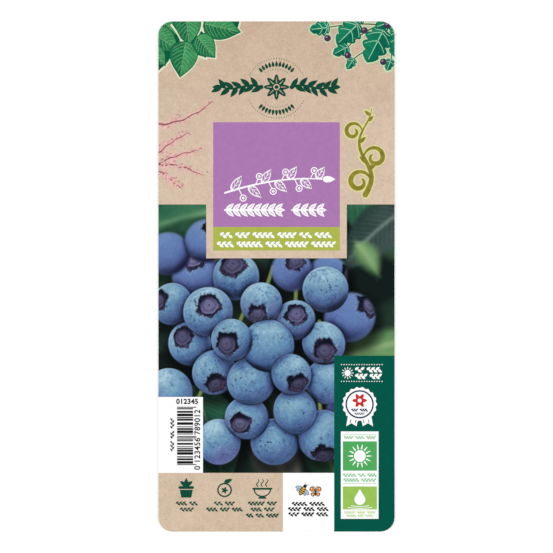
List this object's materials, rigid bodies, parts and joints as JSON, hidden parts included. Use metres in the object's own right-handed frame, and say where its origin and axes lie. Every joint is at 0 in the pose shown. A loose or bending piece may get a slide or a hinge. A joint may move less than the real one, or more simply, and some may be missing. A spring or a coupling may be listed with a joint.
{
  "type": "plant label",
  "caption": "Flat printed plant label with rounded corners, a picture of blueberries, a title panel, a striped code field and a side panel.",
  "frame": {"origin": "centre of the label's back face, on the surface that the label lies on", "axes": "+Y towards the label's top edge, +X across its width to the reader's right, +Z out of the printed face"},
  "size_m": [0.1, 0.216, 0.0006],
  "materials": {
    "sheet_white": "satin",
    "kraft_print": "matt print of recycled brown paper under a thin varnish",
    "picture_print": "satin four-colour picture print",
    "white_ink": "satin",
    "purple_ink": "satin",
    "lime_ink": "satin",
    "dark_green_ink": "satin",
    "leaf_green_ink": "satin",
    "sprig_green_ink": "satin",
    "pink_ink": "satin",
    "olive_ink": "satin",
    "certificate_green_ink": "satin",
    "certificate_lime_ink": "satin",
    "red_ink": "satin",
    "black_ink": "satin",
    "amber_ink": "satin"
  },
  "bodies": {
    "root": {"card_core": "sheet_white", "kraft_face": "kraft_print", "picture_panel": "picture_print", "barcode_field": "white_ink", "care_strip": "kraft_print", "pollinator_field": "white_ink", "side_panel": "dark_green_ink", "title_panel": "purple_ink", "claim_band": "lime_ink", "title_sprig": "white_ink", "title_bar_1": "white_ink", "title_bar_2": "white_ink", "emblem_flower": "dark_green_ink", "emblem_vine_left": "dark_green_ink", "emblem_vine_right": "dark_green_ink", "corner_leaves_left": "leaf_green_ink", "corner_leaves_right": "sprig_green_ink", "pink_twig": "pink_ink", "flourish": "olive_ink", "pot_icon": "dark_green_ink", "fruit_icon": "dark_green_ink", "bowl_icon": "dark_green_ink", "bee_icon": "black_ink", "butterfly_icon": "amber_ink", "badge_rosette": "white_ink", "badge_centre": "red_ink", "certificate_panel": "white_ink", "certificate_sun_block": "certificate_green_ink", "certificate_drop_block": "certificate_lime_ink", "certificate_sun": "white_ink", "certificate_drop": "white_ink", "code_bar_01": "black_ink", "code_bar_02": "black_ink", "code_bar_03": "black_ink", "code_bar_04": "black_ink", "code_bar_05": "black_ink", "code_bar_06": "black_ink", "code_bar_07": "black_ink", "code_bar_08": "black_ink", "code_bar_09": "black_ink", "code_bar_10": "black_ink", "code_bar_11": "black_ink", "code_bar_12": "black_ink", "code_bar_13": "black_ink", "code_bar_14": "black_ink", "code_bar_15": "black_ink", "code_bar_16": "black_ink", "code_bar_17": "black_ink", "code_bar_18": "black_ink", "code_bar_19": "black_ink", "code_bar_20": "black_ink", "code_bar_21": "black_ink", "code_bar_22": "black_ink", "code_bar_23": "black_ink", "code_bar_24": "black_ink"}
  },
  "joints": []
}
